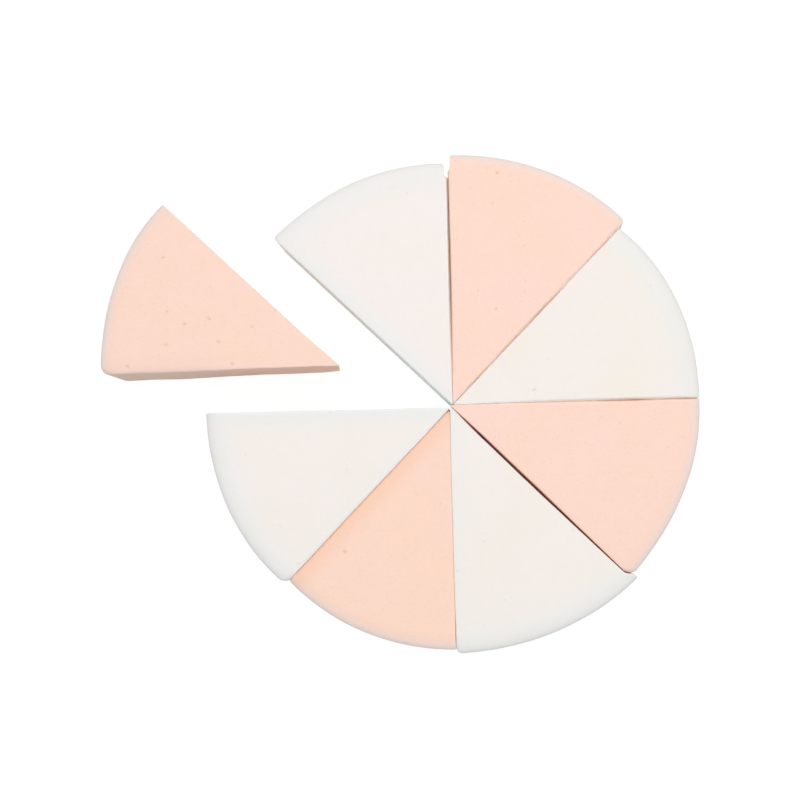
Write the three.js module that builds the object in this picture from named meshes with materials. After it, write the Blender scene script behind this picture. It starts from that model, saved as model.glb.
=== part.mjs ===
// A set of eight make-up sponges: wedges of foam rubber, four white and four peach, sliced
// from round pads and laid together again as one disc. One peach wedge is drawn out of its
// place. Millimetres, +Z up. The wedges lie flat on Z = 0, the cuts between them run nearly
// along X, Y and the diagonals, and the origin is the middle of the set's footprint.

import * as THREE from "three";
import { toCreasedNormals } from "three/addons/utils/BufferGeometryUtils.js";

// Sizes of the set
const wedgeRadius = 48.5; // from a wedge's tip to its rim
const thickness = 24; // height of the pads that the wedges were sliced from
const cutGap = 0.3; // air between two neighbours' cut faces
const drawnOut = 23.8; // how far the drawn-out wedge stands from its place in the disc

// Sizes of a wedge's edges
const tipRadius = 0.3; // the tip, seen from above
const sharpCorner = 0.4; // a clean corner between a cut and the rim, seen from above
const wornCorner = 1.2; // the same corner, rubbed round
const softCorner = 1.8; // the same corner, pressed in
const cutRound = 0.25; // rounding along the top and bottom of a cut face
const rimFallWidth = 3.4; // how far inside the rim its top and bottom edges begin to fall away
const rimFallDepth = 1.5; // how far they have fallen where the rim stands upright

// Fineness of the curves
const cornerSteps = 3;
const rimSteps = 12;
const cutRoundSteps = 2;
const rimFallSteps = 4;
const creaseAngle = Math.PI / 5; // steeper folds than this are drawn sharp

const whiteFoam = new THREE.MeshStandardMaterial({ color: 0xf4eee8, roughness: 0.95, metalness: 0 });
const peachFoam = new THREE.MeshStandardMaterial({ color: 0xfddacb, roughness: 0.95, metalness: 0 });

// The wedges in their order round the disc, clockwise from the open place. No two were sliced
// or laid quite alike. angle, in degrees, is the one between a wedge's cut faces, and turn is
// how far it lies turned counterclockwise. reach is its length as a share of the wedge radius.
// out and aside are how far it has crept outwards and sideways, counterclockwise, as shares of
// the cut gap.
const wedgeShares = {
  white_wedge_1: { foam: whiteFoam, angle: 45.25, turn: 0.3, reach: 1.003, out: -1.2, aside: -1.15 },
  peach_wedge_2: { foam: peachFoam, angle: 44.95, turn: -0.02, reach: 1.009, out: 3.05, aside: -0.4 },
  white_wedge_3: { foam: whiteFoam, angle: 45, turn: 0, reach: 0.996, out: 0.6, aside: 0.65 },
  peach_wedge_4: { foam: peachFoam, angle: 45.3, turn: -0.14, reach: 0.998, out: -0.85, aside: 0.25 },
  white_wedge_5: { foam: whiteFoam, angle: 44.85, turn: -0.18, reach: 1, out: -0.45, aside: -1.05 },
  peach_wedge_6: { foam: peachFoam, angle: 44.75, turn: 0.05, reach: 0.957, out: 2.8, aside: -0.3 },
  white_wedge_7: { foam: whiteFoam, angle: 45.6, turn: -0.15, reach: 0.992, out: 0.3, aside: 0.7 },
  peach_wedge_8: { foam: peachFoam, angle: 44.6, turn: 0.6, reach: 0.974, out: 0, aside: 1.4 },
};

// Each wedge's two outer corners, the clockwise one first.
const outerCorners = {
  white_wedge_1: [wornCorner, sharpCorner],
  peach_wedge_2: [wornCorner, sharpCorner],
  white_wedge_3: [sharpCorner, sharpCorner],
  peach_wedge_4: [wornCorner, sharpCorner],
  white_wedge_5: [wornCorner, sharpCorner],
  peach_wedge_6: [sharpCorner, sharpCorner],
  white_wedge_7: [sharpCorner, softCorner],
  peach_wedge_8: [sharpCorner, softCorner],
};
const drawnOutWedge = "peach_wedge_8";

const eighth = (2 * Math.PI) / Object.keys(wedgeShares).length;
const quarterTurn = Math.PI / 2;
const upright = new THREE.Vector3(0, 0, 1);

function arcPoints(centre, radius, from, to, steps) {
  return Array.from({ length: steps + 1 }, (_, i) => {
    const angle = from + ((to - from) * i) / steps;
    return new THREE.Vector2(Math.cos(angle), Math.sin(angle)).multiplyScalar(radius).add(centre);
  });
}

// The centre of an outer corner's arc, which touches the rim and the cut face from inside.
// side is -1 at the clockwise cut and 1 at the other.
function cornerCentre(side, half, rim, inset, radius) {
  const inward = inset + radius;
  const along = Math.sqrt((rim - radius) ** 2 - inward ** 2);
  const edge = new THREE.Vector2(Math.cos(half), side * Math.sin(half));
  const normal = new THREE.Vector2(Math.sin(half), -side * Math.cos(half));
  return edge.multiplyScalar(along).addScaledVector(normal, inward);
}

// A wedge seen from above, counterclockwise, with its middle line along +X. It fills a sector
// of the given half angle and rim radius, apart from a strip as wide as inset along each cut.
function wedgeOutline(half, rim, inset, [firstRadius, lastRadius]) {
  const first = cornerCentre(-1, half, rim, inset, firstRadius);
  const last = cornerCentre(1, half, rim, inset, lastRadius);
  const tip = new THREE.Vector2((inset + tipRadius) / Math.sin(half), 0);
  const rimStart = Math.atan2(first.y, first.x);
  const rimEnd = Math.atan2(last.y, last.x);
  const cut = quarterTurn + half; // the way a cut face looks, from the middle line
  return [
    ...arcPoints(first, firstRadius, -cut, rimStart, cornerSteps),
    ...arcPoints(new THREE.Vector2(), rim, rimStart, rimEnd, rimSteps).slice(1, -1),
    ...arcPoints(last, lastRadius, rimEnd, cut, cornerSteps),
    ...arcPoints(tip, tipRadius, cut, 2 * Math.PI - cut, cornerSteps),
  ];
}

// How far an edge's rounding has drawn in at a depth below the top face or above the bottom
// one. The rounding is a quarter of an ellipse of the given width and full depth.
function drawnIn(depth, width, fullDepth) {
  const left = Math.max(0, 1 - depth / fullDepth);
  return width * (1 - Math.sqrt(1 - left ** 2));
}

// The depths at which an edge's rounding is drawn, from the face inwards.
function roundDepths(fullDepth, steps) {
  return Array.from({ length: steps + 1 }, (_, i) => fullDepth * (1 - Math.cos((quarterTurn * i) / steps)));
}

// One closed skin over a stack of outlines: the sides, then the flat bottom and top.
function wedgeGeometry(half, reach, corners) {
  const cutDepths = roundDepths(cutRound, cutRoundSteps);
  const rimDepths = roundDepths(rimFallDepth, rimFallSteps);
  const depths = [...new Set([...cutDepths, ...rimDepths])].sort((a, b) => a - b);
  const levels = [
    ...depths.map((depth) => ({ depth, height: depth })),
    ...depths.toReversed().map((depth) => ({ depth, height: thickness - depth })),
  ];
  const outlines = levels.map(({ depth }) => {
    const inset = cutGap / 2 + drawnIn(depth, cutRound, cutRound);
    const rim = reach - drawnIn(depth, rimFallWidth, rimFallDepth);
    return wedgeOutline(half, rim, inset, corners);
  });
  const points = outlines.flatMap((outline, level) =>
    outline.map((point) => new THREE.Vector3(point.x, point.y, levels[level].height)),
  );

  const count = outlines[0].length;
  const index = [];
  for (let level = 0; level < levels.length - 1; level++) {
    for (let i = 0; i < count; i++) {
      const here = level * count + i;
      const next = level * count + ((i + 1) % count);
      index.push(here, next, next + count);
      index.push(here, next + count, here + count);
    }
  }
  for (const [a, b, c] of THREE.ShapeUtils.triangulateShape(outlines[0], [])) {
    index.push(c, b, a);
  }
  const topStart = points.length - count;
  for (const [a, b, c] of THREE.ShapeUtils.triangulateShape(outlines.at(-1), [])) {
    index.push(topStart + a, topStart + b, topStart + c);
  }
  const geometry = new THREE.BufferGeometry().setFromPoints(points);
  geometry.setIndex(index);
  return toCreasedNormals(geometry, creaseAngle);
}

// The disc: each wedge is turned to its own eighth and moved to where it lies.
const disc = new THREE.Group();
Object.entries(wedgeShares).forEach(([name, { foam, angle, turn, reach, out, aside }], i) => {
  const half = THREE.MathUtils.degToRad(angle) / 2;
  const bearing = Math.PI - (i + 1.5) * eighth;
  const outward = out * cutGap + (name === drawnOutWedge ? drawnOut : 0);
  const wedge = new THREE.Mesh(wedgeGeometry(half, reach * wedgeRadius, outerCorners[name]), foam);
  wedge.name = name;
  wedge.position.set(outward, aside * cutGap, 0).applyAxisAngle(upright, bearing);
  wedge.rotation.z = bearing + THREE.MathUtils.degToRad(turn);
  disc.add(wedge);
});

// The set's footprint is centred on the origin.
const footprint = new THREE.Box3().setFromObject(disc, true).getCenter(new THREE.Vector3());
disc.position.set(-footprint.x, -footprint.y, 0);

const spongeSet = new THREE.Group();
spongeSet.add(disc);

export default spongeSet;
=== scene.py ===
import bpy
import numpy as np
from mathutils import Matrix, Vector


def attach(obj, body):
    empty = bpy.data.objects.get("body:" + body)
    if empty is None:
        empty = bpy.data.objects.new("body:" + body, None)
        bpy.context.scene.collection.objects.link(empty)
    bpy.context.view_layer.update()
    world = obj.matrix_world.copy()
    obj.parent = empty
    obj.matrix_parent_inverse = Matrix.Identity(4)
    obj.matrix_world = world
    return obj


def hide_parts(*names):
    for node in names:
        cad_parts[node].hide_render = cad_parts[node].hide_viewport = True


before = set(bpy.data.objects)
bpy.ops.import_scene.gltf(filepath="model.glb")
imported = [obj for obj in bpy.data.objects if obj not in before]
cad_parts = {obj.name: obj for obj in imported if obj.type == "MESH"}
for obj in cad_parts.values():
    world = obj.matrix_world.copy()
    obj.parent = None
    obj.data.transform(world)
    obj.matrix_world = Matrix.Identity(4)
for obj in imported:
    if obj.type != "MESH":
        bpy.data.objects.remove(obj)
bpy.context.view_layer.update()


# Camera: it hangs about 0.43 m above the wedges and looks almost straight down, so that only
# the cut faces on the near side of the drawn-out wedge and of the gap show as thin strips.
eye = Vector((0.0206146, -0.0232022, 0.458))
aim = Vector((0.0004446, 0.0008378, 0.024))
picture_up = Vector((0.0262, 0.9997, 0.0))
camera_data = bpy.data.cameras.new("table_camera")
camera_data.lens = 100.17
camera_data.sensor_width = 36.0
camera_data.clip_start = 0.01
camera_data.clip_end = 20.0
camera = bpy.data.objects.new("table_camera", camera_data)
back = (eye - aim).normalized()
right = picture_up.cross(back).normalized()
camera.matrix_world = Matrix((right, back.cross(right), back)).transposed().to_4x4()
camera.location = eye
bpy.context.scene.collection.objects.link(camera)
bpy.context.scene.camera = camera


# Studio: a wide table top of plain matt card under a soft lamp, which hangs over the wedges, a
# little behind them and to the right. The white room round it lights them too, a little cooler
# from overhead than from the sides.
bpy.context.scene.view_settings.view_transform = "Standard"
# the light that finds its way down between two wedges has bounced many times
bpy.context.scene.cycles.diffuse_bounces = 12
bpy.context.scene.cycles.max_bounces = 14
table_half = 3.0
table_z = -0.00002
table_mesh = bpy.data.meshes.new("table_top")
table_mesh.from_pydata(
    [
        (-table_half, -table_half, table_z),
        (table_half, -table_half, table_z),
        (table_half, table_half, table_z),
        (-table_half, table_half, table_z),
    ],
    [],
    [(0, 1, 2, 3)],
)
table_top = bpy.data.objects.new("table_top", table_mesh)
bpy.context.scene.collection.objects.link(table_top)

# to the camera the card looks lit through, so that it comes out white, and it keeps the faint
# shadow round the wedges
card = bpy.data.materials.new("matt_card")
card.use_nodes = True
nodes, links = card.node_tree.nodes, card.node_tree.links
nodes.clear()
card_out = nodes.new("ShaderNodeOutputMaterial")
card_seen = nodes.new("ShaderNodeMixShader")
card_rays = nodes.new("ShaderNodeLightPath")
card_body = nodes.new("ShaderNodeBsdfDiffuse")
card_body.inputs["Color"].default_value = (0.7, 0.735, 0.74, 1)
card_shadowed = nodes.new("ShaderNodeBsdfDiffuse")
card_shadowed.inputs["Color"].default_value = (0.08, 0.08, 0.08, 1)
card_glow = nodes.new("ShaderNodeEmission")
card_glow.inputs["Color"].default_value = (1, 1, 1, 1)
card_glow.inputs["Strength"].default_value = 0.95
card_sum = nodes.new("ShaderNodeAddShader")
links.new(card_shadowed.outputs[0], card_sum.inputs[0])
links.new(card_glow.outputs[0], card_sum.inputs[1])
links.new(card_rays.outputs["Is Camera Ray"], card_seen.inputs["Fac"])
links.new(card_body.outputs[0], card_seen.inputs[1])
links.new(card_sum.outputs[0], card_seen.inputs[2])
links.new(card_seen.outputs[0], card_out.inputs["Surface"])
table_mesh.materials.append(card)

# the room looks plain white, straight or mirrored: only the light that it gives is tinted
room = bpy.data.worlds.new("white_room")
bpy.context.scene.world = room
room.use_nodes = True
nodes, links = room.node_tree.nodes, room.node_tree.links
nodes.clear()
room_out = nodes.new("ShaderNodeOutputWorld")
room_light = nodes.new("ShaderNodeBackground")
room_light.inputs["Strength"].default_value = 0.6
room_place = nodes.new("ShaderNodeTexCoord")
room_way = nodes.new("ShaderNodeSeparateXYZ")
room_height = nodes.new("ShaderNodeMapRange")
room_height.interpolation_type = "SMOOTHSTEP"
room_height.inputs["From Min"].default_value = 0.45
room_height.inputs["From Max"].default_value = 0.85
room_colour = nodes.new("ShaderNodeMix")
room_colour.data_type = "RGBA"
room_colour.inputs["A"].default_value = (1.0, 0.985, 0.96, 1)
room_colour.inputs["B"].default_value = (0.76, 0.942, 1.03, 1)
room_white = nodes.new("ShaderNodeBackground")
room_white.inputs["Color"].default_value = (1, 1, 1, 1)
room_mix = nodes.new("ShaderNodeMixShader")
room_rays = nodes.new("ShaderNodeLightPath")
room_seen = nodes.new("ShaderNodeMath")
room_seen.operation = "MAXIMUM"
room_clear = nodes.new("ShaderNodeMath")
room_clear.operation = "MAXIMUM"
links.new(room_rays.outputs["Is Camera Ray"], room_seen.inputs[0])
links.new(room_rays.outputs["Is Glossy Ray"], room_seen.inputs[1])
links.new(room_seen.outputs[0], room_clear.inputs[0])
links.new(room_rays.outputs["Is Transmission Ray"], room_clear.inputs[1])
links.new(room_place.outputs["Generated"], room_way.inputs[0])
links.new(room_way.outputs["Z"], room_height.inputs["Value"])
links.new(room_height.outputs["Result"], room_colour.inputs["Factor"])
links.new(room_colour.outputs["Result"], room_light.inputs["Color"])
links.new(room_clear.outputs[0], room_mix.inputs["Fac"])
links.new(room_light.outputs[0], room_mix.inputs[1])
links.new(room_white.outputs[0], room_mix.inputs[2])
links.new(room_mix.outputs[0], room_out.inputs["Surface"])

soft_lamp_data = bpy.data.lights.new("soft_lamp", "AREA")
soft_lamp_data.shape = "DISK"
soft_lamp_data.size = 0.3
soft_lamp_data.energy = 2.0
soft_lamp_data.color = (1.0, 0.882, 0.835)
soft_lamp = bpy.data.objects.new("soft_lamp", soft_lamp_data)
soft_lamp.location = (0.06, 0.12, 0.62)
soft_lamp.rotation_euler = (Vector(soft_lamp.location) - aim).to_track_quat("Z", "Y").to_euler()
bpy.context.scene.collection.objects.link(soft_lamp)


# White wedge 1, at the upper left beside the open place. The foam is latex rubber beaten up with
# air, poured as a thick round pad and sliced like a cake, so its cuts are flat and crisp and its
# rim falls away softly. Nothing joins the wedges: this one is pushed in deeper than wedge 2.
MM = 0.001
WEDGE_HEIGHT = 24.0
WEDGE_RADIUS = 48.5
CUT_GAP = 0.3
DISC_MIDDLE = (10.4815, -0.6269)
# how far round a rim's outer corner is, and how wide and deep its top and bottom edges fall away
SHARP, WORN, SOFT = 0.35, 1.2, 1.7
RIM_FALL = (3.4, 1.5)
# how far behind a pressed cut the foam moves with it, and how fine its ragged lips are
CUT_INFLUENCE = 2.5
RAGGED_SIZE = 2.0
# a value given along a cut, as distances from the tip and what it is there; a band of no width;
# and how little apart the skins of two wedges that press on each other are kept
NOWHERE, EVERYWHERE = ((0, 50), (0, 0)), ((0, 50), (1, 1))
NEVER = (1, NOWHERE)
HELD_APART = ((0, 1, 6, 10, 49), (0.04, 0.035, 0.03, 0.02, 0.02))
# the rim's grey is painted shade, where its rounding turns away from the light
# the rim's greying: how far in it begins, and from and over what depth, and how far, it clears
RIM_BAND = 8.0
RIM_CLEARS_FROM, RIM_CLEARS_OVER, RIM_CLEARED = 2.0, 4.0, 0.75
# the skin's lumps, as (size, strength), how high they stand, and over what height they come in
LUMPS = ((14, 1), (5.5, 0.5), (1.7, 0.22))
LUMP_HEIGHT, LUMPS_BEGIN_OVER = 0.05, 2.0
# how much of the lumps a cut held by its neighbour loses, and from and over what slope it counts
PRESSED_FLAT = 0.92
CUT_SLOPE_FROM, CUT_SLOPE_OVER = 0.25, 0.5
# the bubbles: their lattice, what share of its cells holds one, and their radii; how far a single
# one's centre is above the face, in radii, and how deep a bubble is where its painted shade is full
BUBBLE_SPACING, BUBBLE_SHARE, BUBBLE_RADII = 1.5, 0.008, (0.15, 0.36)
PIT_RAISED, PIT_SHADE_DEPTH = 0.15, 0.7
# the mesh: cells along a patch's edge, columns round the tip and a corner, and rows up the sides
PATCH_CELLS = 80
TIP_COLUMNS, CORNER_COLUMNS = 4, 6
FALL_ROWS, UPRIGHT_ROWS = 16, 74


def smooth(share):
    """An even step from 0 to 1 over shares from 0 to 1: 3t^2 - 2t^3."""
    share = np.clip(share, 0, 1)
    return share**2 * (3 - 2 * share)


def lattice_random(cells, salt):
    """A number from 0 to 1 for each cell of a cubic lattice. The cell's three whole numbers and
    the salt are multiplied by large primes, joined by exclusive or, and stirred by shifts and
    products."""
    x, y, z = (cells[..., i].astype(np.int64).astype(np.uint32) for i in range(3))
    mixed = x * np.uint32(73856093) ^ y * np.uint32(19349663) ^ z * np.uint32(83492791)
    mixed ^= np.uint32(salt * 2654435761 % 2**32)
    mixed = (mixed ^ (mixed >> np.uint32(16))) * np.uint32(0x7FEB352D)
    mixed = (mixed ^ (mixed >> np.uint32(15))) * np.uint32(0x846CA68B)
    return (mixed ^ (mixed >> np.uint32(16))) / 2.0**32


def unevenness(points, size, salt):
    """Smooth noise from -1 to 1 whose lumps are about size across: random values at the corners
    of a cubic lattice, blended inside each cell by the curve 6t^5 - 15t^4 + 10t^3 on each axis."""
    at = points / size
    cell = np.floor(at)
    part = at - cell
    blend = part**3 * (part * (part * 6 - 15) + 10)
    total = np.zeros(len(points))
    for corner in np.ndindex(2, 2, 2):
        near = np.where(corner, blend, 1 - blend).prod(axis=1)
        total += near * lattice_random(cell + corner, salt)
    return total * 2 - 1


def open_bubbles(points, normals, spacing, share, radii, salt):
    """How deep the bubbles that a surface cuts through reach below it. Each cell of a cubic
    lattice may hold one sphere, of a random centre and radius. Where a point lies inside a sphere,
    the depth is its way out of it against the normal, faded to nothing at the sphere's rim."""
    home = np.floor(points / spacing)
    depth = np.zeros(len(points))
    for step in np.ndindex(3, 3, 3):
        cell = home + step - 1
        shift = np.stack([lattice_random(cell, salt + i) for i in range(3)], axis=1)
        away = points - (cell + shift) * spacing
        radius = radii[0] + (radii[1] - radii[0]) * lattice_random(cell, salt + 3) ** 3
        radius = np.where(lattice_random(cell, salt + 4) < share, radius, 0)
        inside = radius**2 - (away**2).sum(axis=1)
        hit = inside > 0
        along = (away[hit] * normals[hit]).sum(axis=1)
        fade = np.sqrt(np.clip(inside[hit] / radius[hit] ** 2, 0, 1))
        depth[hit] = np.maximum(depth[hit], (along + np.sqrt(along**2 + inside[hit])) * fade)
    return depth


def drawn_in(depth, width, full_depth):
    """How far an edge's rounding has drawn in at a depth below the face: a quarter ellipse."""
    left = np.clip(1 - depth / full_depth, 0, 1)
    return width * (1 - np.sqrt(1 - left**2))


def arc(centre, radius, start, end, count):
    """count points on an arc, from its start and without its end, for each row of centres."""
    angle = start + (end - start) * np.arange(count) / count
    return centre[:, None, :] + radius * np.stack([np.cos(angle), np.sin(angle)], axis=-1)


def wedge_outlines(half, tip_insets, rim_insets, rim, corners, tip_radius):
    """A wedge seen from above, once for each row of insets and rims, with its middle line along +X.
    It fills a sector, apart from a strip along each cut, as wide at the tip and at the rim as the
    insets say. The points run counterclockwise from the middle of the tip's arc: out along the
    clockwise cut, round the rim, and back along the other."""
    sides = []
    for side, inset, radius in zip((-1, 1), rim_insets, corners):
        inward = inset + radius
        along = np.sqrt((rim - radius) ** 2 - inward**2)
        edge = np.array([np.cos(half), side * np.sin(half)])
        normal = np.array([np.sin(half), -side * np.cos(half)])
        sides.append(along[:, None] * edge + inward[:, None] * normal)
    first, last = sides
    # the tip's arc touches both cuts: its centre lies on the line halfway between them
    reach_in = (tip_insets[0] + tip_insets[1]) / 2 + tip_radius
    aside = (tip_insets[0] - tip_insets[1]) / 2
    tip = np.stack([reach_in / np.sin(half), aside / np.cos(half)], axis=1)
    cut = np.pi / 2 + half
    start = np.arctan2(first[:, 1], first[:, 0])[:, None]
    end = np.arctan2(last[:, 1], last[:, 0])[:, None]
    flat_columns = 2 * PATCH_CELLS - TIP_COLUMNS - CORNER_COLUMNS
    rim_columns = 2 * PATCH_CELLS - 2 * CORNER_COLUMNS
    share = np.arange(flat_columns)[None, :, None] / flat_columns
    none = np.zeros_like(first)

    def cut_line(centre_a, radius_a, centre_b, radius_b, angle):
        way = np.array([np.cos(angle), np.sin(angle)])
        a, b = centre_a + radius_a * way, centre_b + radius_b * way
        return a[:, None, :] * (1 - share) + b[:, None, :] * share

    turned = 2 * np.pi
    rim_points = arc(none, rim[:, None, None], start, end, rim_columns)
    return np.concatenate(
        [
            arc(tip, tip_radius, np.pi, turned - cut, TIP_COLUMNS),
            cut_line(tip, tip_radius, first, corners[0], -cut),
            arc(first, corners[0], -cut, start, 2 * CORNER_COLUMNS),
            rim_points,
            arc(last, corners[1], end, cut, 2 * CORNER_COLUMNS),
            cut_line(last, corners[1], tip, tip_radius, cut),
            arc(tip, tip_radius, cut, np.pi, TIP_COLUMNS),
        ],
        axis=1,
    )


def cap_patches(outline):
    """The flat inside of an outline as three four-sided patches, which meet at its middle. Each
    patch holds one corner, and is the blend of its two pairs of opposite edges less that of its
    corners."""
    n, count = PATCH_CELLS, len(outline)
    middle = outline[[n, 3 * n, 5 * n]].mean(axis=0)
    across = np.linspace(0, 1, n + 1)[:, None, None]
    along = np.linspace(0, 1, n + 1)[None, :, None]
    patches = []
    for corner in (0, 2 * n, 4 * n):
        low = outline[(corner + np.arange(n + 1)) % count][None]
        left = outline[(corner - np.arange(n + 1)) % count][:, None]
        high = left[-1:] * (1 - along) + middle * along
        right = low[:, -1:] * (1 - across) + middle * across
        ruled = low * (1 - across) + high * across + left * (1 - along) + right * along
        ends = (low[:, :1] * (1 - along) + low[:, -1:] * along) * (1 - across)
        ends = ends + (left[-1:] * (1 - along) + middle * along) * across
        patches.append(ruled - ends)
    return np.stack(patches)


def grid_faces(start, rows, columns, closed=False):
    """The four-sided faces of a grid of points numbered from start, row by row."""
    wide = columns if closed else columns - 1
    row, column = np.meshgrid(np.arange(rows - 1), np.arange(wide), indexing="ij")
    after = (column + 1) % columns
    here, there = start + row * columns, start + (row + 1) * columns
    corners = [here + column, here + after, there + after, there + column]
    return np.stack(corners, axis=-1).reshape(-1, 4)


def face_normals_at_points(points, faces):
    """Each point's normal: the sum of the cross products of its faces' diagonals, made one long."""
    a, b, c, d = (points[faces[:, i]] for i in range(4))
    crossed = np.cross(c - a, d - b)
    total = np.zeros_like(points)
    for i in range(4):
        for axis in range(3):
            total[:, axis] += np.bincount(faces[:, i], crossed[:, axis], len(points))
    return total / np.maximum(np.linalg.norm(total, axis=1, keepdims=True), 1e-12)


def seam_cut(cut, side, half, lies, tip):
    """A cut at a seam, with the face and the mouth that the seam gives it. The seam runs out from
    the disc's middle at cut["bearing"], and its middle line lies cut["middle"] to the left of that.
    It is open by cut["opening"] at the top and by cut["deep"] further down. The wedge's tip is at
    tip, and its own middle line runs at the angle lies. At each distance cut["at"], and to a
    hundredth of a millimetre, the face stands beyond the CAD's by the way from there to the seam's
    middle line, less half of what is open deep down, and by cut["bulge"]. The mouth is half of what
    the top is wider than that."""
    at = np.array(cut["at"])
    bearing, runs = np.radians(cut["bearing"]), lies + side * half
    ahead = np.array([np.cos(bearing), np.sin(bearing)])
    sideways = np.array([-ahead[1], ahead[0]])
    way = np.array([np.cos(runs), np.sin(runs)])
    start = tip - side * np.array([-way[1], way[0]]) * CUT_GAP / 2
    cad_face = start @ sideways + way @ sideways * (at - start @ ahead) / (way @ ahead)
    opening = np.interp(at, *cut["opening"])
    deep = np.minimum(opening, np.interp(at, *cut["deep"]))
    face = side * (np.interp(at, *cut["middle"]) - cad_face) - deep / 2
    face += np.interp(at, *cut.get("bulge", NOWHERE))
    mouth = (opening - deep) / 2
    return {**cut, "face": (at, np.round(face, 2)), "mouth": (at, np.round(mouth, 2))}


def pressed_cuts(points, half, cuts, salt):
    """How far each point moves as the cut faces swell, and how closely it is held on each cut.
    A face stands beyond the CAD's by cut["face"], given along the cut, where it presses against
    its neighbour, and by cut["mouth"] and up to cut["ragged"] less at its top and bottom edges,
    down to a depth of cut["closes"]. cut["foot"] is how much further out it stands at the underside
    than at the top, and cut["lead"] how much further along the cut all this lies at the underside.
    A point moves with a cut the more, the nearer it lies. Where it lies near both, at the tip, the
    two moves are solved together, so that each face stands where its cut says. The last two results
    are the cuts' outward directions, and each point's distance along and behind them."""
    depth = np.minimum(points[:, 2], WEDGE_HEIGHT - points[:, 2])
    moves, holds, ways, places = [], [], [], []
    for side, cut in zip((-1, 1), cuts):
        along = points[:, :2] @ (np.cos(half), side * np.sin(half))
        along = along - cut.get("lead", 0.0) * (1 - points[:, 2] / WEDGE_HEIGHT)
        outward = np.array([-np.sin(half), side * np.cos(half)])
        behind = -(points[:, :2] @ outward) - CUT_GAP / 2
        hold = smooth(1 - behind / CUT_INFLUENCE)
        worn = cut.get("ragged", 0.0) * np.clip(unevenness(points, RAGGED_SIZE, salt + side), 0, 1)
        back = np.interp(along, *cut.get("mouth", NOWHERE)) + worn
        back *= 1 - smooth(depth / np.interp(along, *cut.get("closes", EVERYWHERE)))
        lean = np.interp(along, *cut.get("foot", NOWHERE)) * (1 - points[:, 2] / WEDGE_HEIGHT)
        moves.append((np.interp(along, *cut["face"]) + lean - back) * hold)
        holds.append(hold)
        ways.append(outward)
        places.append((along, behind))
    shared = ways[0] @ ways[1]
    loose = [1 - hold for hold in holds]
    solved = 1 - loose[0] * loose[1] * shared**2
    ahead = [(moves[i] + loose[i] * shared * moves[1 - i]) / solved for i in (0, 1)]
    pushes = [(ahead[i] - shared * ahead[1 - i]) / (1 - shared**2) for i in (0, 1)]
    return pushes[0][:, None] * ways[0] + pushes[1][:, None] * ways[1], holds, ways, places


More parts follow.
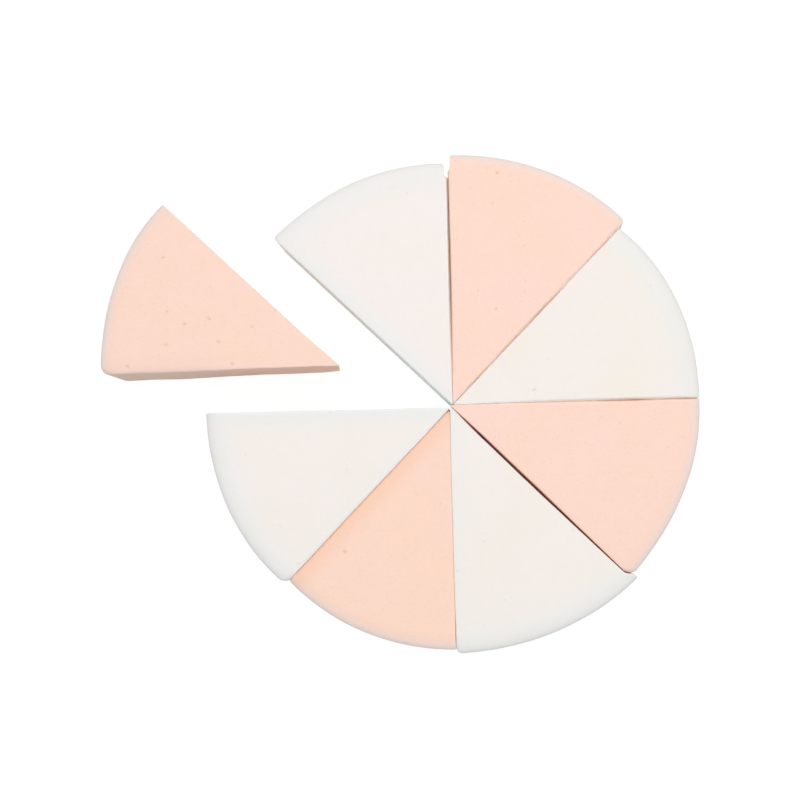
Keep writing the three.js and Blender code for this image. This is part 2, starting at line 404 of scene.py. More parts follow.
def foam_wedge(
    name,
    bearing,
    angle,
    turn,
    reach,
    out,
    aside,
    corners,
    cuts,
    bend,
    batch,
    salt,
    tip_radius=0.2,
    tip_dip=(1, 0, 0),
    pits=(),
):
    """A wedge of foam as one closed skin. Stacked outlines make the sides, and three patches each
    the flat top and underside. The cuts and the rim then take their own shapes. Every point moves
    along its normal by smooth unevenness, and inwards where the surface cuts through a bubble.
    Last, the tip and slumped cuts fall, by the square of the nearness to the cut and the fourth
    power of the height. Lengths are in millimetres here, and of two cuts or corners the clockwise
    one is first. angle, turn, reach, out and aside are the CAD wedge's, out and aside counted in
    cut gaps. bend is a cubic of how far the rim lies beyond its circle, from -1 at the clockwise
    cut to 1. batch is how far the rubber's colour leans to its second tint. tip_dip is how wide the
    top face falls away at the tip, how far, and how much painted shade lies on it there. pits are
    (along, across, radius) of single bubbles in the top face. Of what is given for a cut beside
    what seam_cut and pressed_cuts read, cut["edge"] is the rounding's width at the tip and at the
    rim, and its depth. cut["slump"] is how wide a strip of the top face falls towards the cut, and
    how far, given along it. cut["aired"] is how much the cut face takes of its own paler tone with
    painted light on it, and cut["greyed"] and cut["stained"] are the (width, share) of bands beside
    it of painted grey shade and of painted deeper-peach shade, the shares given along it."""
    half = np.radians(angle) / 2
    facing = np.radians(bearing)
    lies = facing + np.radians(turn)
    ahead = np.array([np.cos(facing), np.sin(facing)])
    sideways = np.array([-ahead[1], ahead[0]])
    middle = np.array(DISC_MIDDLE) + out * CUT_GAP * ahead + aside * CUT_GAP * sideways
    cuts = [
        seam_cut(cut, side, half, lies, middle - DISC_MIDDLE) if "bearing" in cut else cut
        for side, cut in zip((-1, 1), cuts)
    ]

    fall_width, fall_depth = RIM_FALL
    rounding = fall_depth * (1 - np.cos(np.linspace(0, np.pi / 2, FALL_ROWS + 1)))
    upright = np.linspace(fall_depth, WEDGE_HEIGHT - fall_depth, UPRIGHT_ROWS + 1)[1:-1]
    heights = np.concatenate([rounding, upright, WEDGE_HEIGHT - rounding[::-1]])
    depth = np.minimum(heights, WEDGE_HEIGHT - heights)
    edges = [cut["edge"] for cut in cuts]
    tip_insets = [CUT_GAP / 2 + drawn_in(depth, narrow, deep) for narrow, _, deep in edges]
    rim_insets = [CUT_GAP / 2 + drawn_in(depth, wide, deep) for _, wide, deep in edges]
    rim = reach * WEDGE_RADIUS - drawn_in(depth, fall_width, fall_depth)
    outlines = wedge_outlines(half, tip_insets, rim_insets, rim, corners, tip_radius)
    columns = outlines.shape[1]
    high = np.broadcast_to(heights[:, None, None], (*outlines.shape[:2], 1))
    wall = np.concatenate([outlines, high], axis=-1).reshape(-1, 3)

    points, faces = [wall], [grid_faces(0, len(heights), columns, closed=True)]
    start = len(wall)
    side = PATCH_CELLS + 1
    caps = (outlines[-1], WEDGE_HEIGHT, False), (outlines[0], 0.0, True)
    for outline, level, turned_over in caps:
        for patch in cap_patches(outline):
            flat = patch.reshape(-1, 2)
            points.append(np.column_stack([flat, np.full(len(flat), level)]))
            quads = grid_faces(start, side, side)
            faces.append(quads[:, ::-1] if turned_over else quads)
            start += len(flat)
    points, faces = np.concatenate(points), np.concatenate(faces)
    _, first, same = np.unique(np.round(points, 5), axis=0, return_index=True, return_inverse=True)
    points, faces = points[first], same.reshape(-1)[faces]

    moved, holds, ways, places = pressed_cuts(points, half, cuts, salt + 5)
    points[:, :2] += moved
    far = np.linalg.norm(points[:, :2], axis=1)
    rimward = np.clip(1 - (reach * WEDGE_RADIUS - far) / RIM_BAND, 0, 1)
    below = np.minimum(points[:, 2], WEDGE_HEIGHT - points[:, 2]) - RIM_CLEARS_FROM
    rimward *= 1 - RIM_CLEARED * smooth(below / RIM_CLEARS_OVER)
    swing = np.clip(np.arctan2(points[:, 1], points[:, 0]) / half, -1, 1)
    nearing = smooth(far / (reach * WEDGE_RADIUS) * 2 - 1)
    points[:, :2] *= 1 + (np.polyval(bend, swing) * nearing / np.maximum(far, 1))[:, None]

    normals = face_normals_at_points(points, faces)
    begun = np.clip(points[:, 2] / LUMPS_BEGIN_OVER, 0, 1)
    lumps = sum(high * unevenness(points, size, salt + i) for i, (size, high) in enumerate(LUMPS))
    uneven = normals * (LUMP_HEIGHT * lumps * begun)[:, None]
    # beside each cut: the cut face's own paler tone with painted light on it, and bands of painted
    # grey shade and of painted deeper-peach shade
    cut_and_painted_light, greyed, painted_shade = np.zeros((3, len(points)))
    for cut, hold, way, (along, behind) in zip(cuts, holds, ways, places):
        uneven[:, :2] -= (PRESSED_FLAT * hold * (uneven[:, :2] @ way))[:, None] * way
        on_cut = smooth((normals[:, :2] @ way - CUT_SLOPE_FROM) / CUT_SLOPE_OVER)
        cut_and_painted_light = np.maximum(cut_and_painted_light, on_cut * np.interp(along, *cut.get("cut_and_painted_light", NOWHERE)))
        bands = (greyed, cut.get("greyed", NEVER)), (painted_shade, cut.get("painted_shade", NEVER))
        for band, (width, shares) in bands:
            np.maximum(band, np.interp(along, *shares) * smooth(1 - behind / width), out=band)
    hollow = open_bubbles(points, normals, BUBBLE_SPACING, BUBBLE_SHARE, BUBBLE_RADII, salt + 10)
    for along, across, radius in pits:
        away = points - (along, across, WEDGE_HEIGHT + radius * PIT_RAISED)
        inside = radius**2 - (away**2).sum(axis=1)
        hollow = np.maximum(hollow, np.sqrt(np.clip(inside, 0, None)))
    points = points + uneven - normals * hollow[:, None]
    # the tip falls away, and painted deeper-peach shade lies on it there
    dip_width, dip_depth, dip_shade = tip_dip
    dipping = smooth(1 - np.linalg.norm(points[:, :2], axis=1) / dip_width)
    painted_shade = np.maximum(painted_shade, dip_shade * dipping)
    fallen = dip_depth * dipping
    for cut, (along, behind) in zip(cuts, places):
        width, depths = cut.get("slump", (1, NOWHERE))
        fallen += np.interp(along, *depths) * np.clip(1 - behind / width, 0, 1) ** 2
    points[:, 2] -= fallen * (np.clip(points[:, 2], 0, WEDGE_HEIGHT) / WEDGE_HEIGHT) ** 4
    points[:, 2] = np.maximum(points[:, 2], 0)

    cos, sin = np.cos(lies), np.sin(lies)
    placed = points.copy()
    placed[:, 0] = points[:, 0] * cos - points[:, 1] * sin + middle[0]
    placed[:, 1] = points[:, 0] * sin + points[:, 1] * cos + middle[1]

    mesh = bpy.data.meshes.new(name)
    mesh.vertices.add(len(placed))
    mesh.vertices.foreach_set("co", (placed * MM).astype(np.float32).ravel())
    mesh.loops.add(faces.size)
    mesh.loops.foreach_set("vertex_index", faces.astype(np.int32).ravel())
    mesh.polygons.add(len(faces))
    mesh.polygons.foreach_set("loop_start", np.arange(0, faces.size, 4, dtype=np.int32))
    mesh.polygons.foreach_set("use_smooth", np.ones(len(faces), dtype=bool))
    mesh.update(calc_edges=True)
    mesh.validate()
    # the marks that the colour reads: painted shade in the opened bubbles, in bands, at a tip and
    # at the rim, and the cut faces' own tone with painted light
    marks = {
        "pit": np.clip(hollow / PIT_SHADE_DEPTH, 0, 1),
        "painted_shade": painted_shade,
        "batch": np.full(len(points), batch),
        "cut_and_painted_light": cut_and_painted_light,
        "greyed": greyed,
        "rimward": rimward,
    }
    for label, values in marks.items():
        layer = mesh.attributes.new(label, "FLOAT", "POINT")
        layer.data.foreach_set("value", values.astype(np.float32))
    wedge = bpy.data.objects.new(name, mesh)
    bpy.context.scene.collection.objects.link(wedge)
    return wedge


def new_group(name, inputs, outputs):
    """An empty shader node group with named inputs, as (kind, name, default), and named outputs."""
    group = bpy.data.node_groups.new(name, "ShaderNodeTree")
    for kind, label, default in inputs:
        socket = group.interface.new_socket(label, in_out="INPUT", socket_type=kind)
        if default is not None:
            socket.default_value = default
    for kind, label in outputs:
        group.interface.new_socket(label, in_out="OUTPUT", socket_type=kind)
    return group, group.nodes.new("NodeGroupInput"), group.nodes.new("NodeGroupOutput")


# The fine open cells of the foam: three sizes of round pore, each from the distance to random
# points, of which only some are open at the surface, and a faint grain between them. The widest
# are the rarest and the plainest to see.
cells, cells_in, cells_out = new_group(
    "foam_cells",
    [("NodeSocketFloat", "Openness", 0.5), ("NodeSocketFloat", "Grain", 0.3)],
    [("NodeSocketFloat", "Pores"), ("NodeSocketFloat", "Height")],
)
add = cells.nodes.new
join = cells.links.new
place = add("ShaderNodeTexCoord")
pore_masks = []
for per_metre, widest, softness in ((2600.0, 0.4, 0.1), (800.0, 0.16, 0.1), (300.0, 0.09, 0.06)):
    points_near = add("ShaderNodeTexVoronoi")
    points_near.inputs["Scale"].default_value = per_metre
    join(place.outputs["Object"], points_near.inputs["Vector"])
    own = add("ShaderNodeSeparateColor")
    join(points_near.outputs["Color"], own.inputs[0])
    size = add("ShaderNodeMath")
    size.operation = "MULTIPLY"
    join(own.outputs[0], size.inputs[0])
    size.inputs[1].default_value = widest
    scaled = add("ShaderNodeMath")
    scaled.operation = "MULTIPLY"
    join(size.outputs[0], scaled.inputs[0])
    join(cells_in.outputs["Openness"], scaled.inputs[1])
    inside = add("ShaderNodeMath")
    inside.operation = "SUBTRACT"
    join(scaled.outputs[0], inside.inputs[0])
    join(points_near.outputs["Distance"], inside.inputs[1])
    mask = add("ShaderNodeMapRange")
    mask.interpolation_type = "SMOOTHSTEP"
    mask.inputs["From Min"].default_value = -softness
    mask.inputs["From Max"].default_value = softness
    join(inside.outputs[0], mask.inputs["Value"])
    pore_masks.append(mask)
pore_masks[2].inputs["To Max"].default_value = 2.2
wider = add("ShaderNodeMath")
wider.operation = "MAXIMUM"
join(pore_masks[1].outputs["Result"], wider.inputs[0])
join(pore_masks[2].outputs["Result"], wider.inputs[1])
pores = add("ShaderNodeMath")
pores.operation = "MAXIMUM"
join(pore_masks[0].outputs["Result"], pores.inputs[0])
join(wider.outputs[0], pores.inputs[1])
join(pores.outputs[0], cells_out.inputs["Pores"])
grain = add("ShaderNodeTexNoise")
grain.inputs["Scale"].default_value = 2200.0
grain.inputs["Detail"].default_value = 3.0
join(place.outputs["Object"], grain.inputs["Vector"])
grain_part = add("ShaderNodeMath")
grain_part.operation = "MULTIPLY"
join(grain.outputs["Fac"], grain_part.inputs[0])
join(cells_in.outputs["Grain"], grain_part.inputs[1])
level = add("ShaderNodeMath")
level.operation = "SUBTRACT"
join(grain_part.outputs[0], level.inputs[0])
join(pores.outputs[0], level.inputs[1])
join(level.outputs[0], cells_out.inputs["Height"])

# The foam's colour: the colour of the rubber in slightly unlike clouds and specks, with painted
# grey shade along the rim and the open cuts and painted deeper-peach shade beside some cuts, paler
# on the open cut faces, partly their own tone and partly painted light, and painted shade inside
# the pores and in the bubbles that the cuts have opened. The roughness goes up with the pores.
tint, tint_in, tint_out = new_group(
    "foam_tint",
    [
        ("NodeSocketColor", "Rubber", (0.8, 0.8, 0.8, 1)),
        ("NodeSocketColor", "Cloud", (0.8, 0.8, 0.8, 1)),
        ("NodeSocketColor", "Depth", (0.5, 0.5, 0.5, 1)),
        ("NodeSocketFloat", "Pores", 0.0),
        ("NodeSocketFloat", "Pore shade", 0.1),
        ("NodeSocketFloat", "Pit", 0.0),
        ("NodeSocketFloat", "Batch", 0.5),
        ("NodeSocketColor", "Cut", (0.8, 0.8, 0.8, 1)),
        ("NodeSocketFloat", "Cut_and_painted_light", 0.0),
        ("NodeSocketColor", "Grey", (0.8, 0.8, 0.8, 1)),
        ("NodeSocketFloat", "Greyed", 0.0),
        ("NodeSocketColor", "Painted shade colour", (0.8, 0.8, 0.8, 1)),
        ("NodeSocketFloat", "Painted_shade", 0.0),
    ],
    [("NodeSocketColor", "Colour"), ("NodeSocketFloat", "Roughness")],
)
add = tint.nodes.new
join = tint.links.new
place = add("ShaderNodeTexCoord")
clouds = add("ShaderNodeTexNoise")
clouds.inputs["Scale"].default_value = 75.0
clouds.inputs["Detail"].default_value = 4.0
clouds.inputs["Roughness"].default_value = 0.62
join(place.outputs["Object"], clouds.inputs["Vector"])
cloud_mask = add("ShaderNodeMapRange")
cloud_mask.inputs["From Min"].default_value = 0.36
cloud_mask.inputs["From Max"].default_value = 0.64
cloud_mask.inputs["To Min"].default_value = -0.3
cloud_mask.inputs["To Max"].default_value = 0.3
join(clouds.outputs["Fac"], cloud_mask.inputs["Value"])
leaning = add("ShaderNodeMath")
leaning.operation = "ADD"
leaning.use_clamp = True
join(cloud_mask.outputs["Result"], leaning.inputs[0])
join(tint_in.outputs["Batch"], leaning.inputs[1])
clouded = add("ShaderNodeMix")
clouded.data_type = "RGBA"
join(leaning.outputs[0], clouded.inputs["Factor"])
join(tint_in.outputs["Rubber"], clouded.inputs["A"])
join(tint_in.outputs["Cloud"], clouded.inputs["B"])
# painted grey shade along the rounded rim and in bands beside some cuts
dulled = add("ShaderNodeMix")
dulled.data_type = "RGBA"
join(tint_in.outputs["Greyed"], dulled.inputs["Factor"])
join(clouded.outputs["Result"], dulled.inputs["A"])
join(tint_in.outputs["Grey"], dulled.inputs["B"])
# painted shade of a deeper peach, in bands beside some cuts and at a tip
deeper = add("ShaderNodeMix")
deeper.data_type = "RGBA"
join(tint_in.outputs["Painted_shade"], deeper.inputs["Factor"])
join(dulled.outputs["Result"], deeper.inputs["A"])
join(tint_in.outputs["Painted shade colour"], deeper.inputs["B"])
# the cut faces' own paler tone, with painted light on it
opened_up = add("ShaderNodeMix")
opened_up.data_type = "RGBA"
join(tint_in.outputs["Cut_and_painted_light"], opened_up.inputs["Factor"])
join(deeper.outputs["Result"], opened_up.inputs["A"])
join(tint_in.outputs["Cut"], opened_up.inputs["B"])
pore_share = add("ShaderNodeMath")
pore_share.operation = "MULTIPLY"
join(tint_in.outputs["Pores"], pore_share.inputs[0])
join(tint_in.outputs["Pore shade"], pore_share.inputs[1])
# painted shade in the pores and in the bubbles that the cuts have opened
dark_share = add("ShaderNodeMath")
dark_share.operation = "MAXIMUM"
join(pore_share.outputs[0], dark_share.inputs[0])
join(tint_in.outputs["Pit"], dark_share.inputs[1])
deepened = add("ShaderNodeMix")
deepened.data_type = "RGBA"
join(dark_share.outputs[0], deepened.inputs["Factor"])
join(opened_up.outputs["Result"], deepened.inputs["A"])
join(tint_in.outputs["Depth"], deepened.inputs["B"])
join(deepened.outputs["Result"], tint_out.inputs["Colour"])
roughness = add("ShaderNodeMapRange")
roughness.inputs["To Min"].default_value = 0.86
roughness.inputs["To Max"].default_value = 0.98
join(tint_in.outputs["Pores"], roughness.inputs["Value"])
join(roughness.outputs["Result"], tint_out.inputs["Roughness"])


def foam_material(name, tints, rim_shade, openness, pore_shade, bump):
    """Matt foam rubber: the shared cells and tint groups under one plain shader of its own. tints
    are colours by the tint group's own names. The rim's (start, end, share) are how near to the
    rim, from 0 to 1, the painted grey shade on its rounding begins and is full, and how strong it
    is there."""
    foam = bpy.data.materials.new(name)
    foam.use_nodes = True
    nodes, links = foam.node_tree.nodes, foam.node_tree.links
    shader = nodes["Principled BSDF"]
    shader.inputs["Specular IOR Level"].default_value = 0.18
    cell_node = nodes.new("ShaderNodeGroup")
    cell_node.node_tree = cells
    cell_node.inputs["Openness"].default_value = openness
    tint_node = nodes.new("ShaderNodeGroup")
    tint_node.node_tree = tint
    for label, colour in tints.items():
        tint_node.inputs[label].default_value = (*colour, 1)
    tint_node.inputs["Pore shade"].default_value = pore_shade
    marks = {}
    for label in ("pit", "batch", "cut_and_painted_light", "greyed", "painted_shade", "rimward"):
        marks[label] = nodes.new("ShaderNodeAttribute")
        marks[label].attribute_name = label
    for label in ("pit", "batch", "cut_and_painted_light", "painted_shade"):
        links.new(marks[label].outputs["Fac"], tint_node.inputs[label.capitalize()])
    # the painted grey shade of the rim, where its rounding turns away from the light
    rim_grey = nodes.new("ShaderNodeMapRange")
    rim_grey.interpolation_type = "SMOOTHSTEP"
    for label, value in zip(("From Min", "From Max", "To Max"), rim_shade):
        rim_grey.inputs[label].default_value = value
    links.new(marks["rimward"].outputs["Fac"], rim_grey.inputs["Value"])
    greyest = nodes.new("ShaderNodeMath")
    greyest.operation = "MAXIMUM"
    links.new(rim_grey.outputs["Result"], greyest.inputs[0])
    links.new(marks["greyed"].outputs["Fac"], greyest.inputs[1])
    links.new(greyest.outputs[0], tint_node.inputs["Greyed"])
    links.new(cell_node.outputs["Pores"], tint_node.inputs["Pores"])
    relief = nodes.new("ShaderNodeBump")
    relief.inputs["Strength"].default_value = bump
    relief.inputs["Distance"].default_value = 0.0001
    links.new(cell_node.outputs["Height"], relief.inputs["Height"])
    links.new(tint_node.outputs["Colour"], shader.inputs["Base Color"])
    links.new(tint_node.outputs["Roughness"], shader.inputs["Roughness"])
    links.new(relief.outputs["Normal"], shader.inputs["Normal"])
    return foam


white_foam = foam_material(
    "white_foam_rubber",
    # the rubber, its clouds, then painted grey shade, painted deeper shade, the cut faces' own tone
    # with painted light, and painted shade in hollows
    tints={
        "Rubber": (0.905, 0.85, 0.835),
        "Cloud": (0.895, 0.84, 0.77),
        "Grey": (0.835, 0.85, 0.835),
        "Painted shade colour": (0.93, 0.8, 0.66),
        "Cut": (0.945, 0.98, 0.98),
        "Depth": (0.58, 0.54, 0.5),
    },
    rim_shade=(0.125, 0.75, 0.6),
    openness=0.7,
    pore_shade=0.08,
    bump=0.25,
)

# The seam between wedges 1 and 2. It is open to a few millimetres' depth, and right through
# beyond 45.5 mm, at the rim.
TOP_SEAM = {
    "bearing": 90,
    "at": (0, 2, 4, 8, 12, 16, 24, 36, 42, 45.5, 45.9, 47.2, 49),
    "middle": ((0, 12, 24, 36, 45.5, 45.9, 49), (-0.28, -0.33, -0.37, -0.4, -0.42, -0.34, -0.34)),
    "opening": (
        (0, 2, 4, 8, 12, 16, 24, 32, 36, 42, 45.5, 45.9, 47.2, 49),
        (0.04, 0.16, 0.36, 0.5, 0.52, 0.6, 0.58, 0.64, 0.57, 0.52, 0.54, 1.15, 1.2, 1.3),
    ),
    "deep": ((0, 1, 6, 10, 45.5, 45.9, 47.2, 49), (0.04, 0.035, 0.03, 0.02, 0.02, 1.1, 1.15, 1.25)),
    "closes": ((0, 4, 8, 12, 20, 28, 44, 49), (0.3, 0.9, 1.5, 2.1, 3.6, 4, 3.4, 2.2)),
    "edge": (0.15, 0.5, 0.25),
    "ragged": 0.04,
    "lead": 3.8,
    # the cut face takes its own paler tone, with painted light on it
    "cut_and_painted_light": ((0, 50), (0.9, 0.9)),
}

white_1 = foam_wedge(
    "white_wedge_1_foam",
    bearing=112.5,
    angle=45.25,
    turn=0.3,
    reach=1.003,
    out=-1.2,
    aside=-1.15,
    corners=(0.5, 0.7),
    cuts=(
        {
            **TOP_SEAM,
            "foot": ((0, 45.5, 45.9, 50), (0, 0, -0.9, -0.9)),
        },
        {
            "face": NOWHERE,
            "edge": (0.3, 0.8, 0.3),
            # the open cut face: its own paler tone with painted light on it, and painted grey shade
            # along its top edge, where the top falls away from the light
            "cut_and_painted_light": EVERYWHERE,
            "greyed": (4.5, ((0, 50), (0.75, 0.75))),
        },
    ),
    bend=(0.3, -0.14, 0.13, -0.02),
    tip_radius=0.14,
    batch=0.25,
    salt=101,
)
white_1.data.materials.append(white_foam)
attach(white_1, "upper_left_white")
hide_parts("white_wedge_1")


# Peach wedge 2, at the upper right. The same foam with a peach dye in the rubber. It has crept
# outwards a little, so its rim stands proud of both its neighbours'.
peach_foam = foam_material(
    "peach_foam_rubber",
    # the rubber, its clouds, then painted grey shade, painted deeper shade, the cut faces' own tone
    # with painted light, and painted shade in hollows
    tints={
        "Rubber": (0.972, 0.7, 0.615),
        "Cloud": (0.972, 0.7, 0.56),
        "Grey": (0.89, 0.765, 0.725),
        "Painted shade colour": (0.93, 0.56, 0.38),
        "Cut": (0.972, 0.805, 0.7),
        "Depth": (0.64, 0.43, 0.35),
    },
    rim_shade=(0.7, 1.05, 0.9),
    openness=0.85,
    pore_shade=0.12,
    bump=0.35,
)

# The seam between wedges 2 and 3. Its lips are the most ragged.
UPPER_RIGHT_SEAM = {
    "bearing": 45,
    "at": (0, 4, 12, 24, 36, 48),
    "middle": ((0, 8, 20, 48), (0.02, 0.1, 0.16, 0.2)),
    "opening": ((0, 4, 12, 24, 28, 36, 48), (0.04, 0.4, 0.44, 0.5, 0.54, 0.4, 0.42)),
    "deep": HELD_APART,
    "closes": ((0, 4, 12, 26, 36, 48), (0.3, 1.4, 1.3, 1.9, 0.9, 1.6)),
    "edge": (0.15, 0.45, 0.25),
    "ragged": 0.22,
    # the cut face takes its own paler tone, with painted light on it
    "cut_and_painted_light": ((0, 50), (0.8, 0.8)),
}

peach_2 = foam_wedge(
    "peach_wedge_2_foam",
    bearing=67.5,
    angle=44.95,
    turn=-0.02,
    reach=1.009,
    out=3.05,
    aside=-0.4,
    corners=(WORN, SHARP),
    cuts=(UPPER_RIGHT_SEAM, TOP_SEAM),
    bend=(0.07, -0.18, -0.17, 0.02),
    tip_radius=0.08,
    pits=((45.0, 8.1, 0.35), (19.9, -1.2, 0.22)),
    batch=0.35,
    salt=202,
)
peach_2.data.materials.append(peach_foam)
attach(peach_2, "upper_right_peach")
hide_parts("peach_wedge_2")


# White wedge 3, at the right above the level seam: a slice of the same white foam, between two
# peach ones. Its rubber is the creamiest of the white ones, and its outer corners are crisp.

# The seam between wedges 3 and 4, which gapes a little near the rim.
RIGHT_SEAM = {
    "bearing": 0,
    "at": (0, 3, 6, 12, 24, 36, 48),
    "middle": ((0, 8, 24, 36, 48), (0.2, 0.3, 0.33, 0.28, 0.24)),
    "opening": ((0, 6, 12, 24, 36, 48), (0.04, 0.22, 0.38, 0.5, 0.6, 0.52)),
    "deep": HELD_APART,
    "closes": ((0, 6, 12, 28, 36, 40, 48), (0.15, 0.5, 0.8, 1.5, 2.6, 1.5, 2)),
    "edge": (0.15, 0.45, 0.25),
    "ragged": 0.1,
    # the cut face takes its own paler tone, with painted light on it
    "cut_and_painted_light": ((0, 50), (0.8, 0.8)),
}

white_3 = foam_wedge(
    "white_wedge_3_foam",
    bearing=22.5,
    angle=45,
    turn=0,
    reach=0.996,
    out=0.6,
    aside=0.65,
    corners=(SHARP, SHARP),
    cuts=(RIGHT_SEAM, UPPER_RIGHT_SEAM),
    bend=(-0.29, -0.47, 0.01, 0.09),
    tip_radius=0.14,
    pits=((15.8, -3.9, 0.3),),
    batch=0.75,
    salt=303,
)
white_3.data.materials.append(white_foam)
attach(white_3, "right_white")
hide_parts("white_wedge_3")


# Peach wedge 4, at the lower right: a slice of the same peach foam, and the one that the others
# are laid against. Its lower outer corner has been rubbed round.

# The seam between wedges 4 and 5. It is the deepest, and narrows to a hair at the rim.
LOWER_RIGHT_SEAM = {
    "bearing": -45,
    "at": (0, 1.2, 2.4, 4, 8, 16, 24, 36, 40, 44, 45.9, 46.3, 46.8, 47.2, 47.6, 48.4),
    "middle": ((0, 6, 14, 28, 48), (-0.15, -0.2, -0.26, -0.31, -0.34)),
    "opening": (
        (0, 1.2, 2.4, 4, 8, 24, 36, 40, 44, 49),
        (0.04, 0.06, 0.14, 0.34, 0.49, 0.57, 0.34, 0.32, 0.202, 0.16),
    ),
    "deep": ((0, 1, 6, 10, 49), (0.04, 0.035, 0.03, 0.03, 0.03)),
    "closes": ((0, 4, 8, 34, 48), (0.6, 3, 8, 7, 3)),
    "edge": (0.2, 0.9, 0.3),
    "ragged": 0.03,
}

peach_4 = foam_wedge(
    "peach_wedge_4_foam",
    bearing=-22.5,
    angle=45.3,
    turn=-0.14,
    reach=0.998,
    out=-0.85,
    aside=0.25,
    corners=(SOFT, SHARP),
    cuts=(
        {
            **LOWER_RIGHT_SEAM,
            "bulge": ((0, 46.6, 47.1, 47.6, 48.4), (0, 0, -0.15, -0.25, -0.25)),
        },
        RIGHT_SEAM,
    ),
    bend=(-0.37, 0.06, 0.43, -0.05),
    tip_radius=0.1,
    pits=((46.5, -6.6, 0.3),),
    batch=0.35,
    salt=404,
)
peach_4.data.materials.append(peach_foam)
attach(peach_4, "lower_right_peach")
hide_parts("peach_wedge_4")


# White wedge 5, a slice of the white foam, below the middle on the right. Its upper outer corner
# bulges over the rubbed corner of wedge 4, and grey shade is painted along its left cut.

# The seam between wedges 5 and 6: pressed shut, apart from its outer end.
BOTTOM_SEAM = {
    "bearing": -90,
    "at": (0, 2, 4, 8, 12, 24, 40, 44, 48),
    "middle": ((0, 6, 14, 24, 48), (-0.3, -0.38, -0.46, -0.42, -0.4)),
    "opening": ((0, 4, 12, 24, 40, 44, 48), (0.04, 0.05, 0.05, 0.14, 0.16, 0.3, 0.34)),
    "deep": HELD_APART,
    "closes": ((0, 40, 48), (0.2, 0.3, 1)),
    "edge": (0.2, 0.45, 0.18),
    "ragged": 0.05,
}

white_5 = foam_wedge(
    "white_wedge_5_foam",
    bearing=-67.5,
    angle=44.85,
    turn=-0.18,
    reach=1,
    out=-0.45,
    aside=-1.05,
    corners=(WORN, SHARP),
    cuts=(
        {
            **BOTTOM_SEAM,
            # a band of painted grey shade beside the seam
            "greyed": (4.0, ((0, 50), (0.4, 0.4))),
        },
        {
            **LOWER_RIGHT_SEAM,
            "bulge": ((0, 45.9, 46.3, 46.8, 47.2, 47.6, 49), (0, 0, 0.15, 0.42, 0.82, 1.05, 1.05)),
        },
    ),
    bend=(-0.17, 0.36, 0.77, -0.08),
    batch=0.6,
    salt=505,
)
white_5.data.materials.append(white_foam)
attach(white_5, "lower_middle_white")
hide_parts("white_wedge_5")


# Peach wedge 6, a slice of the peach foam, below the middle on the left. It has slumped along its
# upper left cut and at the tip, where a deeper peach shade is painted on the skin.

# The seam between wedges 6 and 7: an even shallow furrow.
LOWER_LEFT_SEAM = {
    "bearing": -135,
    "at": (0, 2, 4, 8, 14, 28, 40, 48),
    "middle": ((0, 4, 8, 14, 28, 40, 48), (0.05, 0.1, 0.15, 0.15, 0.2, 0.32, 0.34)),
    "opening": ((0, 2, 4, 8, 12, 36, 48), (0.04, 0.24, 0.22, 0.2, 0.26, 0.28, 0.32)),
    "deep": HELD_APART,
    "closes": ((0, 8, 24, 48), (0.15, 0.25, 0.35, 0.45)),
    "edge": (0.3, 0.5, 0.3),
    "ragged": 0.08,
}

peach_6 = foam_wedge(
    "peach_wedge_6_foam",
    bearing=-112.5,
    angle=44.75,
    turn=0.05,
    reach=0.957,
    out=2.8,
    aside=-0.3,
    corners=(SHARP, SHARP),
    cuts=(
        {
            **LOWER_LEFT_SEAM,
            "slump": (3.5, ((0, 50), (0.5, 0.6))),
            # painted shade of a deeper peach beside the cut, where the slumped skin lies below
            # wedge 7
            "painted_shade": (4.5, ((0, 50), (0.45, 0.45))),
        },
        BOTTOM_SEAM,
    ),
    bend=(0.08, -0.13, 0.36, -0.01),
    tip_radius=0.32,
    # the tip falls away, with full painted deeper-peach shade on it
    tip_dip=(1.8, 0.5, 1),
    pits=((33.2, -9.2, 0.34), (17.8, 4.8, 0.2)),
    batch=0.65,
    salt=606,
)
peach_6.data.materials.append(peach_foam)
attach(peach_6, "lower_left_peach")
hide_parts("peach_wedge_6")


# White wedge 7, a slice of the white foam, at the left below the open place. Its upper cut lies
# open: its face is paler, partly its own tone and partly painted light, and grey shade is painted
# along its top edge. Its lower outer corner has been rubbed round.
white_7 = foam_wedge(
    "white_wedge_7_foam",
    bearing=-157.5,
    angle=45.6,
    turn=-0.15,
    reach=0.992,
    out=0.3,
    aside=0.7,
    corners=(SHARP, SOFT),
    cuts=(
        {
            "face": ((0, 4, 7, 12, 30, 38, 42, 50), (0.05, 0.08, 0.12, 0.05, 0.04, 0, -0.03, 0.06)),
            "edge": (0.4, 0.8, 0.55),
            "ragged": 0.04,
            # the open cut face: its own paler tone with painted light on it, and painted grey shade
            # along its top edge, where the top falls away from the light
            "cut_and_painted_light": EVERYWHERE,
            "greyed": (4.5, EVERYWHERE),
        },
        {
            **LOWER_LEFT_SEAM,
            # a band of painted grey shade beside the seam
            "greyed": (3.0, ((0, 50), (0.3, 0.3))),
        },
    ),
    bend=(-0.19, -0.2, -0.2, 0.05),
    pits=((39.8, 15.8, 0.25),),
    batch=0.4,
    salt=707,
)
white_7.data.materials.append(white_foam)
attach(white_7, "left_white")
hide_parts("white_wedge_7")


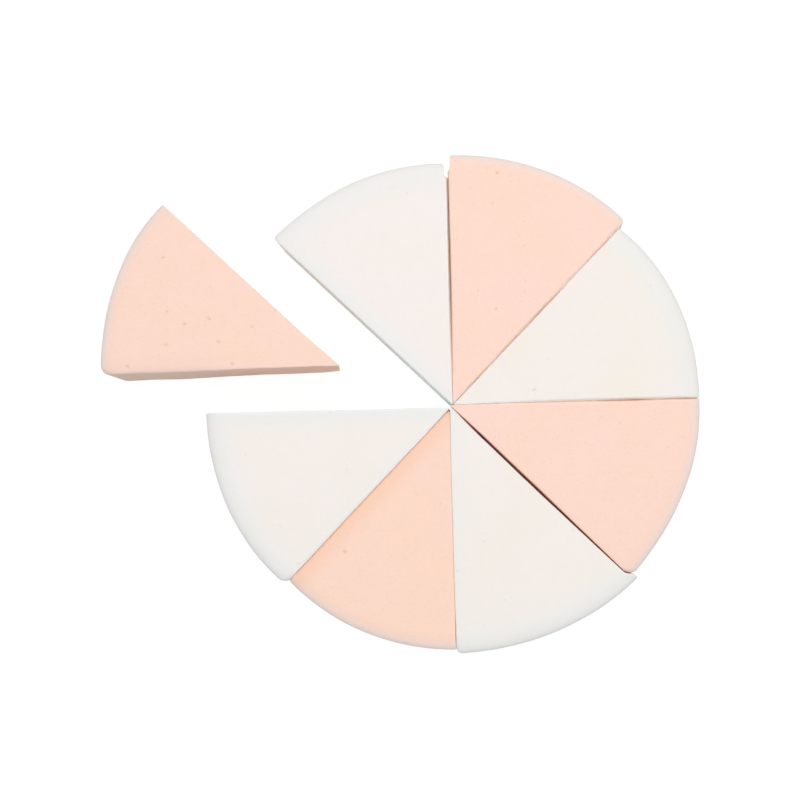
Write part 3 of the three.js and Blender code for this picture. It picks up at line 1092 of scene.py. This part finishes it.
# Peach wedge 8, a slice of the peach foam, drawn straight out of its place to the upper left. Its
# lower cut face shows: it leans in under the top, and painted grey and deeper-peach shade darkens
# it towards the rim. Its lower outer corner has been rubbed round.
DRAWN_OUT = 23.8
peach_8 = foam_wedge(
    "peach_wedge_8_foam",
    bearing=157.5,
    angle=44.6,
    turn=0.6,
    reach=0.974,
    out=DRAWN_OUT / CUT_GAP,
    aside=1.4,
    corners=(SHARP, SOFT),
    cuts=(
        {
            "face": ((0, 5, 9, 50), (0.42, 0.18, 0.07, 0.07)),
            "edge": (0.1, 0.3, 0.15),
            "ragged": 0.03,
            "foot": ((0, 5, 9, 50), (-0.65, -0.2, 0, 0)),
            # the upper cut face: its own paler tone, with painted light on it
            "cut_and_painted_light": EVERYWHERE,
        },
        {
            "face": (
                (0, 2, 5, 10, 17, 25, 35, 41, 43, 46),
                (0.42, 0.4, 0.32, 0.35, 0.3, 0.41, 0.42, 0.38, 0.42, 0.35),
            ),
            "edge": (0.2, 0.5, 0.4),
            "ragged": 0.08,
            "foot": (
                (0, 5, 10, 25, 35, 41, 43, 46),
                (-0.75, -0.4, -0.4, -0.35, -0.15, -0.26, -0.2, -0.1),
            ),
            "slump": (3.2, ((0, 8, 20, 28, 46), (0, 0.1, 0.3, 0.8, 0.8))),
            # painted grey shade and painted deeper-peach shade on the lower cut face, growing
            # towards the rim
            "greyed": (1.2, ((0, 15, 30, 50), (0, 0.2, 0.9, 0.9))),
            "painted_shade": (1.2, ((0, 15, 30, 50), (0, 0.05, 0.42, 0.42))),
        },
    ),
    bend=(0.45, -0.1, -0.58, 0.01),
    pits=(
        (39.7, -7.9, 0.3),
        (31.2, 2.9, 0.3),
        (26.9, 0.3, 0.28),
        (23.6, 3.9, 0.3),
        (33.1, 8.0, 0.26),
        (38.8, 14.7, 0.3),
        (19.5, 7.0, 0.28),
        (18.4, -1.2, 0.2),
        (35.2, 1.8, 0.25),
    ),
    batch=0.5,
    salt=808,
)
peach_8.data.materials.append(peach_foam)
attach(peach_8, "drawn_out_peach")
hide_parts("peach_wedge_8")
